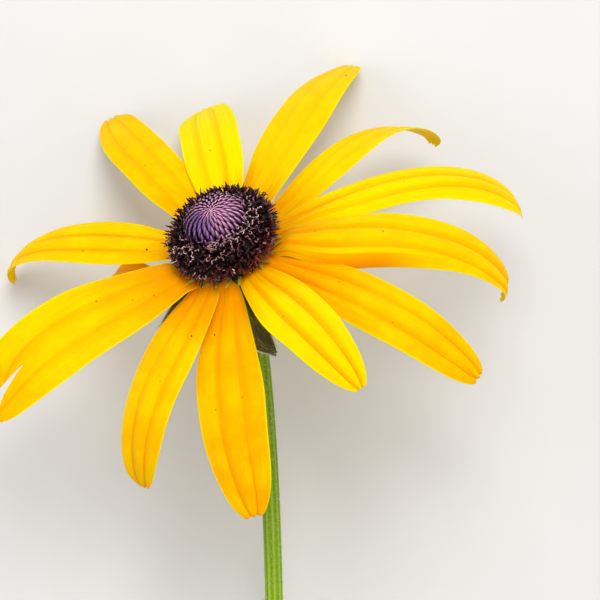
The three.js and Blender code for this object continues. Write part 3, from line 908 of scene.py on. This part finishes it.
def ray_piece(index, material, look):
    ray = RAYS[index]
    even = np.linspace(0, 1, RAY_ROWS)
    t = (even + 0.09 * np.sin(math.pi * even) * even)[:, None]
    crowd = math.pi / 2 * COLUMN_CROWD
    v = np.sin(np.linspace(-1, 1, RAY_COLUMNS) * crowd) / math.sin(crowd)
    t, v = np.broadcast_arrays(t, v[None])
    upper = from_head(ray_surface(index, t, v, look))
    upper[..., 2] = np.maximum(upper[..., 2], LOWEST)
    thickness = look.thickness / MM * (1 - 0.72 * np.abs(v) ** 5) * (1 - 0.6 * smoothstep(t, 0.85, 1))
    points, quads = blade(upper, thickness)
    points[:, 2] = np.maximum(points[:, 2], 0.0)
    # Painted shade where the near lobe is folded down.
    below = 0.5 * smoothstep(FOLD_AT - v, 0, 0.05) + 0.5 * smoothstep(FOLD_AT - v, 0, 1 + FOLD_AT)
    tucked = (ray.fold > 0) * below * smoothstep(t, 0.14, 0.26) * (1 - smoothstep(t, 0.42, 0.7))
    growth = Growth("along", "across", "under", "warmth", "gold", "furrow", "tucked", "lay_x", "lay_y")
    growth.add(
        points, quads, along=doubled(t), across=doubled(v), under=np.repeat([0, 1], t.size),
        warmth=ray.warmth, gold=ray.gold, furrow=ray.furrow, tucked=doubled(tucked),
        lay_x=doubled(v) * ray.width / 20 + 3 * index, lay_y=doubled(t) * ray.length / 10,
    )
    number = f"{index + 1:02d}"
    growth.finish(f"petal_{number}", material, "ray_petal", f"ray_floret_{number}", lay=("lay_x", "lay_y"))


class FLOWER_OT_rays(bpy.types.Operator):
    """Grow the yellow rays"""

    bl_idname = "flower.rays"
    bl_label = "Rays"

    def execute(self, context):
        look = settings().rays
        material = petal_material(look)
        for index in range(len(RAYS)):
            ray_piece(index, material, look)
        return {"FINISHED"}


class FLOWER_OT_specks(bpy.types.Operator):
    """Scatter the few dark grains that lie on the rays"""

    bl_idname = "flower.specks"
    bl_label = "Dark grains"

    def execute(self, context):
        look = settings().rays
        growth = Growth("share")
        for ray, t, v, radius in SPECKS:
            near = np.array([[t, t + 0.01], [t, t]]), np.array([[v, v], [v, v + 0.02]])
            corner = from_head(ray_surface(ray, *near, look))
            along, across = unit(corner[0, 1] - corner[0, 0]), unit(corner[1, 1] - corner[0, 0])
            heights = radius * np.array([[-0.3], [0.1], [0.5], [0.7]])
            path = corner[0, 0] + heights * np.cross(along, across) + 0.2 * radius * along
            growth.strands(path[None], radius * np.array([0.8, 1.0, 0.7, 0]), along, 7, 0.75)
        growth.finish("petal_specks", speck_material(look), "disc_floret")
        return {"FINISHED"}


# ---------------------------------------------------------------- disc


def redness(plots):
    """How far each floret has aged to red: some of the low ones towards the stem and right of it."""
    toward = smoothstep(plots.facing(-62), 0.3, 0.75)
    return toward * smoothstep(plots.share, 0.5, 0.85) * smoothstep(plots.vary(0, 1), 0.3, 0.8)


def tufts(plots):
    """How long each floret is: they stand in tufts round the rim, so that its outline is ragged."""
    wave = np.sin(TUFTS * plots.azimuth + 2 * np.sin(3 * plots.azimuth))
    return (1 + TUFT_DEPTH * wave * smoothstep(plots.share, 0.2, 0.5))[:, None]


def add_florets(growth, plots, length):
    """Each open floret: a short tube, and five pointed lobes that stand up and part like fingers."""
    size = length * plots.vary(0.85, 1.15, 1) * tufts(plots)
    lean = plots.vary(-0.2, 0.2, 2)
    red = redness(plots)
    tube = plots.leaning(size * TUBE[0], lean)
    growth.strands(tube, TUBE[1], plots.sideways, 8, share=(0, 0.45), red=red)
    start = plots.vary(0, FULL_TURN, 1)
    step = np.array(LOBE[0])
    stride = np.diff(step, prepend=0)
    for lobe in range(5):
        angle = start + lobe * FULL_TURN / 5 + plots.vary(-0.25, 0.25, 1)
        long = size * plots.vary(0.5, 0.8, 1)
        part = plots.vary(0.25, 0.95, 1) + plots.vary(-0.3, 1.0, 1) * step
        reach = 0.2 + np.cumsum(stride * np.sin(part), 1) * long
        out = 0.3 * size + np.cumsum(stride * np.cos(part), 1) * long
        inward = lean[:, :1] * out + reach * np.cos(angle)
        sideways = lean[:, 1:] * out + reach * np.sin(angle)
        wide = plots.sideways * np.cos(angle) - plots.inward * np.sin(angle)
        # Some lobes carry a painted glint.
        growth.strands(
            plots.paths(out, inward, sideways), LOBE[1], wide, 6, 0.55, 0.4,
            share=(0.45, 1), red=red, bloom=plots.vary(0, 1) ** 6,
        )


def add_chaff(growth, plots):
    """Each scale between the florets: narrow, keeled and sharp, and longer on the left side."""
    left = smoothstep(plots.facing(165), -0.2, 0.8)[:, None]
    size = (plots.vary(1.2, 1.8, 1) + 0.3 * left) * tufts(plots)
    lean = plots.vary(-0.3, 0.3, 2)
    step = np.array(CHAFF[0])
    path = plots.leaning(step * size, lean, plots.vary(-0.25, 0.25, 1) * step**2)
    # Some scales carry a painted glint.
    growth.strands(
        path, CHAFF[1], plots.sideways, 6, 0.5, 0.4,
        share=(0.25, 1), red=redness(plots), bloom=0.6 * plots.vary(0, 1) ** 5,
    )


def add_rim_scales(growth, draw):
    """The green scales that show under the disc's edge, in the gaps between the rays."""
    azimuths = [ray.azimuth for ray in RAYS]
    step = np.array(RIM_SCALE[0])
    for azimuth, following in zip(azimuths, azimuths[1:] + azimuths[:1]):
        gap = (azimuth - following) % 360
        for share in draw.uniform(0.2, 0.8, 2):
            length = draw.uniform(1.6, 2.7)
            slope = math.radians(draw.uniform(8, 26))
            reach = length * step * math.cos(slope)
            height = 0.8 + length * step * math.sin(slope)
            path = np.stack([RIM_RADIUS + reach, 0.5 * draw.uniform(-1, 1) * reach, height], -1)
            path = turned_about_z(path, azimuth - gap * share)
            wide, green = np.cross(UP, unit(path[-1] - path[0])), draw.uniform(0.6, 1.0)
            growth.strands(path[None], RIM_SCALE[1], wide, 8, 0.35, share=(0.3, 1), green=green)


def pallor(plots):
    """How pale each style is: cream close round the dome on its right and lower sides and in a patch at the
    left, and dark elsewhere."""
    radius = np.hypot(*plots.point[:, :2].T)
    right = smoothstep(plots.facing(-60), 0.45, 0.8) * (1 - smoothstep(radius, 5.9, 6.5))
    left = smoothstep(plots.facing(-158), 0.82, 0.95) * smoothstep(radius, 5.5, 5.9)
    left = left * (plots.point[:, 2] > 4.2)
    cream = plots.vary(0, 1) < 0.85 * right + 0.6 * left + 0.015
    dull = 0.75 * plots.vary(0, 1) ** 1.5
    return np.where(cream, plots.vary(0.65, 1), dull)


def add_styles(growth, plots, length):
    """Dark anther tubes on the side towards the stem, and over each the two curled branches of its style."""
    plots = plots.some(plots.facing(-95) > plots.vary(-0.3, 0.35))
    pale = pallor(plots)
    size = length * plots.vary(0.75, 1.05, 1)
    lean = plots.vary(-0.3, 0.3, 2)
    growth.strands(plots.leaning(size * ANTHER[0], lean), ANTHER[1], plots.sideways, 6)
    heading = plots.vary(0, FULL_TURN, 1)
    for branch in (0, math.pi):
        angle = heading + branch + plots.vary(-0.5, 0.5, 1)
        curl = np.linspace(0, 1, len(STYLE_SWELL)) * plots.vary(2.2, 5.0, 1)
        radius = plots.vary(0.13, 0.3, 1)
        tilt = plots.vary(0.4, 1.3, 1) * np.sign(plots.vary(-1, 1, 1))
        reach = radius * (1 - np.cos(curl)) + 0.03
        swing = radius * np.sin(curl) * np.sin(tilt)
        out = 0.96 * size + radius * np.sin(curl) * np.cos(tilt)
        inward = lean[:, :1] * size + reach * np.cos(angle) - swing * np.sin(angle)
        sideways = lean[:, 1:] * size + reach * np.sin(angle) + swing * np.cos(angle)
        wide = plots.sideways + 0.3 * plots.normal
        radii = STYLE_RADIUS * np.array(STYLE_SWELL)
        growth.strands(plots.paths(out, inward, sideways), radii, wide, 6, pale=pale)


class FLOWER_OT_florets(bpy.types.Operator):
    """Grow the dark ring of open florets, its scales and its curled styles"""

    bl_idname = "flower.florets"
    bl_label = "Open florets"

    def execute(self, context):
        look = settings().disc
        draw = np.random.default_rng(SEED)
        length = look.floret_length / MM
        flank = np.array(FLANK) - np.array([FLANK_SINK, 0])
        flank[:2, 1] -= FLANK_SINK
        profile = np.array(DISC_PROFILE)
        plots = Plots(flank, look.florets, draw)
        ring, chaff = (Growth("share", "red", "green", "bloom") for _ in range(2))
        styles = Growth("share", "pale")
        # The dark core, painted with the shade deep in the ring.
        ring.add(*turned_shell(profile - np.where(profile > 5, CORE_SINK, 0), CORE_SIDES))
        add_florets(ring, plots, length)
        add_styles(styles, plots, length)
        add_styles(styles, Plots(STYLE_BELT, look.styles, draw), length)
        add_chaff(chaff, Plots(flank, int(1.4 * look.florets), draw))
        add_rim_scales(chaff, draw)
        material = floret_material(look)
        ring.finish("open_florets", material, "disc_floret", "disc_florets", in_head=True)
        chaff.finish("floret_scales", material, "disc_floret", in_head=True)
        styles.finish("floret_styles", style_material(look), "disc_floret", in_head=True)
        return {"FINISHED"}


class FLOWER_OT_buds(bpy.types.Operator):
    """Grow the purple dome of unopened buds"""

    bl_idname = "flower.buds"
    bl_label = "Buds"

    def execute(self, context):
        look = settings().disc
        angle = np.linspace(0, math.pi / 2, 14)
        rise = CAP_TOP - CAP_SHOULDER
        dome = np.stack([CAP_RADIUS * np.sin(angle), CAP_SHOULDER + rise * np.cos(angle)], -1)
        plots = Plots(dome, look.buds, np.random.default_rng(SEED + 1), BUD_CROWD, BUD_CROWD_REACH)
        scale = plots.scale[:, None] * plots.vary(0.95, 1.05, 1)
        *places, radii = (scale * values for values in BUD)
        radii = radii * np.minimum(1, 0.3 + 0.7 * scale)
        # Painted light and shade: the buds are lit pink at the top and on the right further down, and shaded
        # violet on the lower left.
        far, right = smoothstep(plots.facing(120), 0, 0.9), smoothstep(plots.facing(20), 0, 0.9)
        height = 1 - smoothstep(plots.share, 0.05, 0.8) * (0.58 + 0.2 * far - 0.25 * right)
        cool = smoothstep(plots.facing(-155), 0.3, 0.9) * smoothstep(plots.share, 0.06, 0.3)
        growth = Growth("share", "height", "cool", "edge")
        # The core under the buds, painted with shade.
        core = np.vstack([[0, CAP_BASE], [CAP_RADIUS - 0.1, CAP_BASE], dome[::-1] - [0, 0.12]])
        core[-1, 0] = 0
        growth.add(*turned_shell(core, CORE_SIDES))
        height = height * plots.vary(0.75, 1.15)
        path = plots.paths(*places)
        growth.strands(path, radii, plots.sideways, 12, 0.55, 0.6, height=height, cool=cool)
        growth.finish("purple_buds", bud_material(look), "disc_bud", "disc_buds", in_head=True)
        return {"FINISHED"}


# ---------------------------------------------------------------- cup, bracts and stem


def bract_grid(index):
    """A bract's upper face in the head's frame, with its places along and across."""
    row = index % 2
    sway = math.sin(1.7 * index)
    azimuth, length, width, rise, heading = SPREAD_BRACTS.get(index) or (
        index / BRACTS * 360 + 6 * math.sin(4.7 * index),
        BRACT_LENGTH + 1.8 * math.sin(2.1 * index) + 1.5 * row,
        BRACT_WIDTH + 0.4 * math.sin(3.3 * index),
        BRACT_RISE[row],
        (0, 3 * sway, 6 * sway),
    )
    course = Course(length, lambda s: through(rise, s), lambda s: through(heading, s))
    t, v = np.broadcast_arrays(
        1 - np.linspace(1, 0, BRACT_ROWS)[:, None] ** 1.4, np.linspace(-1, 1, BRACT_COLUMNS)[None]
    )
    s = 0.995 * t
    half = width / 2 * np.maximum(1 - np.abs(2 * s - 0.62) ** 2.4 / 1.38**2.4, 0.006) ** 0.75
    origin, side, normal = course.at(s)
    keel = 0.25 * half * v * v - 0.12 * bump(v, 0, 0.12) - 0.05 * np.cos(9 * v + index)
    points = origin + side * (half * v)[..., None] + normal * keel[..., None]
    return turned_about_z(points + np.array([BRACT_FOOT[row][0], 0, BRACT_FOOT[row][1]]), azimuth), t, v


def add_hairs(growth, roots, directions, lengths, radius, droop):
    """Fine pointed hairs, each bent towards its own droop."""
    reach = np.array([0, 0.4, 0.75, 1.0])[None, :, None]
    ahead = reach * directions[:, None] + 0.25 * reach**2 * droop[:, None]
    paths = roots[:, None] + lengths[:, None, None] * ahead
    paths[..., 2] = np.maximum(paths[..., 2], radius)
    wide = np.cross(directions, [0.31, 0.52, 0.79])
    growth.strands(paths, radius * np.array([1, 0.75, 0.45, 0]), wide, 3)


def add_bract_hairs(growth, upper, v, draw, radius):
    """A bract's hairs: some stand out from its margins, and the others from its two faces."""
    side, along = unit(np.gradient(upper, axis=1)), unit(np.gradient(upper, axis=0))
    normal = unit(np.cross(np.gradient(upper, axis=0), np.gradient(upper, axis=1)))

    def grow(at, roots, outward, forward, shortest, longest):
        aim = unit(outward + forward * along[at] + draw.normal(0, 0.3, roots.shape))
        add_hairs(growth, roots, aim, draw.uniform(shortest, longest, len(roots)), radius, along[at])

    rows = draw.integers(2, BRACT_ROWS, EDGE_HAIRS)
    at = rows, np.where(draw.uniform(0, 1, EDGE_HAIRS) > 0.5, BRACT_COLUMNS - 1, 0)
    grow(at, upper[at], side[at] * np.sign(v[at])[:, None], 0.5, 0.3, 0.9)
    rows = draw.integers(2, BRACT_ROWS - 1, FACE_HAIRS)
    at = rows, draw.integers(1, BRACT_COLUMNS - 1, FACE_HAIRS)
    face = np.where(draw.uniform(0, 1, FACE_HAIRS) > 0.45, 1, -1)[:, None]
    grow(at, upper[at] - np.where(face > 0, 0.0, 0.35) * normal[at], face * normal[at], 0.9, 0.25, 0.7)


class FLOWER_OT_involucre(bpy.types.Operator):
    """Grow the green cup with its hairy bracts"""

    bl_idname = "flower.involucre"
    bl_label = "Cup and bracts"

    def execute(self, context):
        look = settings().green
        draw = np.random.default_rng(SEED + 2)
        growth, hairs = Growth("across", "lay_x", "lay_y"), Growth("share")
        points, *faces = turned_shell(rounded(CUP_PROFILE), CUP_SIDES)
        azimuth = np.arctan2(points[:, 1], points[:, 0])
        growth.add(from_head(points), *faces, lay_x=azimuth / 2, lay_y=points[:, 2] / 10)
        for index in range(BRACTS):
            grid, t, v = bract_grid(index)
            upper = from_head(grid)
            shape = blade(upper, BRACT_THICKNESS * (1 - 0.5 * np.abs(v) ** 4))
            growth.add(*shape, across=doubled(v), lay_x=doubled(v) * 0.15 + index, lay_y=doubled(t) * 1.2)
            add_bract_hairs(hairs, upper, v, draw, look.hair_radius / MM)
        growth.finish("cup_and_bracts", bract_material(look), "bract", "involucre", lay=("lay_x", "lay_y"))
        hairs.finish("bract_hairs", hair_material(look), "bract")
        return {"FINISHED"}


def stem_line(s):
    """The stem's middle line from the cup to its cut end, and its directions."""
    start = from_head(np.array([0, 0, CUP_PROFILE[0][1] - STEM_GAP]))
    a, b, c, d = start, start - STEM_STRAIGHT * HEAD_TURN[:, 2], *np.array(STEM_ROUTE)
    s = s[:, None]
    line = (1 - s) ** 3 * a + 3 * s * (1 - s) ** 2 * b + 3 * s**2 * (1 - s) * c + s**3 * d
    tangent = unit(3 * (1 - s) ** 2 * (b - a) + 6 * s * (1 - s) * (c - b) + 3 * s**2 * (d - c))
    level = np.array([1.0, 0, 0])
    right = unit(level - (tangent @ level)[:, None] * tangent)
    return line, tangent, right, np.cross(tangent, right)


class FLOWER_OT_stem(bpy.types.Operator):
    """Grow the ribbed stem with its stiff white hairs"""

    bl_idname = "flower.stem"
    bl_label = "Stem"

    def execute(self, context):
        look = settings().green
        draw = np.random.default_rng(SEED + 3)
        line, tangent, right, up = stem_line(np.linspace(0, 1, STEM_RINGS))
        angle = circle(STEM_SIDES)
        ridge = (0.5 + 0.5 * np.cos(STEM_RIBS * angle)) ** 1.5
        radius = STEM_RADIUS - RIB_HEIGHT / 2 + RIB_HEIGHT * ridge
        spoke = np.cos(angle)[:, None] * right[:, None] + np.sin(angle)[:, None] * up[:, None]
        body = line[:, None] + radius[:, None] * spoke
        points = np.vstack([body.reshape(-1, 3), line[0], line[-1] - 0.15 * tangent[-1]])
        points[:, 2] = np.maximum(points[:, 2], 0.0)

        def layer(around, along=1.0, ends=(0, 0)):
            return np.append(around * np.broadcast_to(along, (STEM_RINGS, 1)), ends)

        down = np.linspace(0, STEM_LAY, STEM_RINGS)[:, None]
        # Painted shade on one side, fading down the stem.
        shade = 0.45 + 0.55 * smoothstep(-np.cos(angle), -0.1, 0.9)
        growth = Growth("ridge", "shade", "cut", "lay_x", "lay_y")
        growth.add(
            points, *shell_faces(STEM_RINGS, STEM_SIDES), ridge=layer(ridge),
            shade=layer(shade, 1 - smoothstep(down, *STEM_SHADE)), cut=layer(0 * angle, ends=(0, 1)),
            lay_x=layer(angle / 7), lay_y=layer(np.ones(STEM_SIDES), down, (0, STEM_LAY)),
        )
        growth.finish("green_stem", stem_material(look), "stem", "stem", lay=("lay_x", "lay_y"))
        hairs = Growth("share")
        thickness = look.hair_radius / MM
        for count, first, shortest, longest, radius in (
            (look.stem_hairs, 0.01, 0.35, look.hair_length / MM, thickness),
            (look.stem_down, 0.32, 0.12, 0.3, 0.65 * thickness),
        ):
            line, tangent, right, up = stem_line(draw.uniform(first, 0.995, count))
            angle = draw.uniform(0, FULL_TURN, count)[:, None]
            spoke = np.cos(angle) * right + np.sin(angle) * up
            aim = unit(spoke + draw.normal(0, 0.25, (count, 3)) + 0.25 * tangent)
            lengths = shortest + (longest - shortest) * draw.uniform(0, 1, count) ** 2.5
            add_hairs(hairs, line + (STEM_RADIUS - 0.05) * spoke, aim, lengths, radius, tangent)
        hairs.finish("stem_hairs", hair_material(look), "stem")
        return {"FINISHED"}


# ---------------------------------------------------------------- stage


class FLOWER_OT_stage(bpy.types.Operator):
    """Set the pale floor, the soft lamps and the camera above the head"""

    bl_idname = "flower.stage"
    bl_label = "Stage"

    def execute(self, context):
        look = settings().stage
        scene = context.scene
        head = Vector(HEAD_AT * MM)
        camera = bpy.data.objects.new("camera", bpy.data.cameras.new("camera"))
        camera.data.sensor_width = SENSOR
        camera.data.lens = SENSOR * CAMERA_ABOVE / FRAME_WIDTH
        camera.location = head + Vector((*CAMERA_ASIDE, CAMERA_ABOVE))
        scene.collection.objects.link(camera)
        scene.camera = camera
        mesh = bpy.data.meshes.new("floor")
        corners = [(x * FLOOR_REACH, y * FLOOR_REACH, 0) for x, y in ((-1, -1), (1, -1), (1, 1), (-1, 1))]
        mesh.from_pydata(corners, [], [(0, 1, 2, 3)])
        mesh.materials.append(floor_material(look.floor))
        floor = bpy.data.objects.new("floor", mesh)
        scene.collection.objects.link(floor)
        for name, aside, size, strength in (
            ("key", (0.05, 0.3, 0.5), 0.34, look.key),
            ("fill", (0.4, -0.2, 0.34), 0.5, look.fill),
            ("left_fill", (-0.44, -0.04, 0.3), 0.5, look.left),
        ):
            light = bpy.data.lights.new(name, "AREA")
            light.shape, light.size, light.energy = "DISK", size, strength
            lamp = bpy.data.objects.new(name, light)
            lamp.location = head + Vector(aside)
            lamp.rotation_euler = (head - lamp.location).to_track_quat("-Z", "Y").to_euler()
            scene.collection.objects.link(lamp)
        world = bpy.data.worlds.new("Pale sky")
        world.use_nodes = True
        sky = world.node_tree.nodes["Background"]
        sky.inputs["Color"].default_value = (0.97, 0.98, 1.0, 1.0)
        sky.inputs["Strength"].default_value = look.sky
        scene.world = world
        scene.view_settings.view_transform = "Standard"
        return {"FINISHED"}


class FLOWER_PT_panel(bpy.types.Panel):
    """Lists the flower's pieces and the stage"""

    bl_label = "Black-eyed Susan"
    bl_idname = "FLOWER_PT_panel"
    bl_space_type = "VIEW_3D"
    bl_region_type = "UI"
    bl_category = "Flower"

    def draw(self, context):
        for operator in OPERATORS:
            self.layout.operator(operator.bl_idname)


OPERATORS = (
    FLOWER_OT_stage,
    FLOWER_OT_rays,
    FLOWER_OT_specks,
    FLOWER_OT_florets,
    FLOWER_OT_buds,
    FLOWER_OT_involucre,
    FLOWER_OT_stem,
)
SETTINGS = (RaySettings, DiscSettings, GreenSettings, StageSettings, FlowerSettings)
CLASSES = (*SETTINGS, *OPERATORS, FLOWER_PT_panel)


def register():
    for item in CLASSES:
        bpy.utils.register_class(item)
    bpy.types.Scene.black_eyed_susan = PointerProperty(type=FlowerSettings)


def unregister():
    del bpy.types.Scene.black_eyed_susan
    for item in reversed(CLASSES):
        bpy.utils.unregister_class(item)


def main():
    register()
    bpy.ops.flower.stage()
    bpy.ops.flower.rays()
    bpy.ops.flower.specks()
    bpy.ops.flower.florets()
    bpy.ops.flower.buds()
    bpy.ops.flower.involucre()
    bpy.ops.flower.stem()


if __name__ == "__main__":
    main()
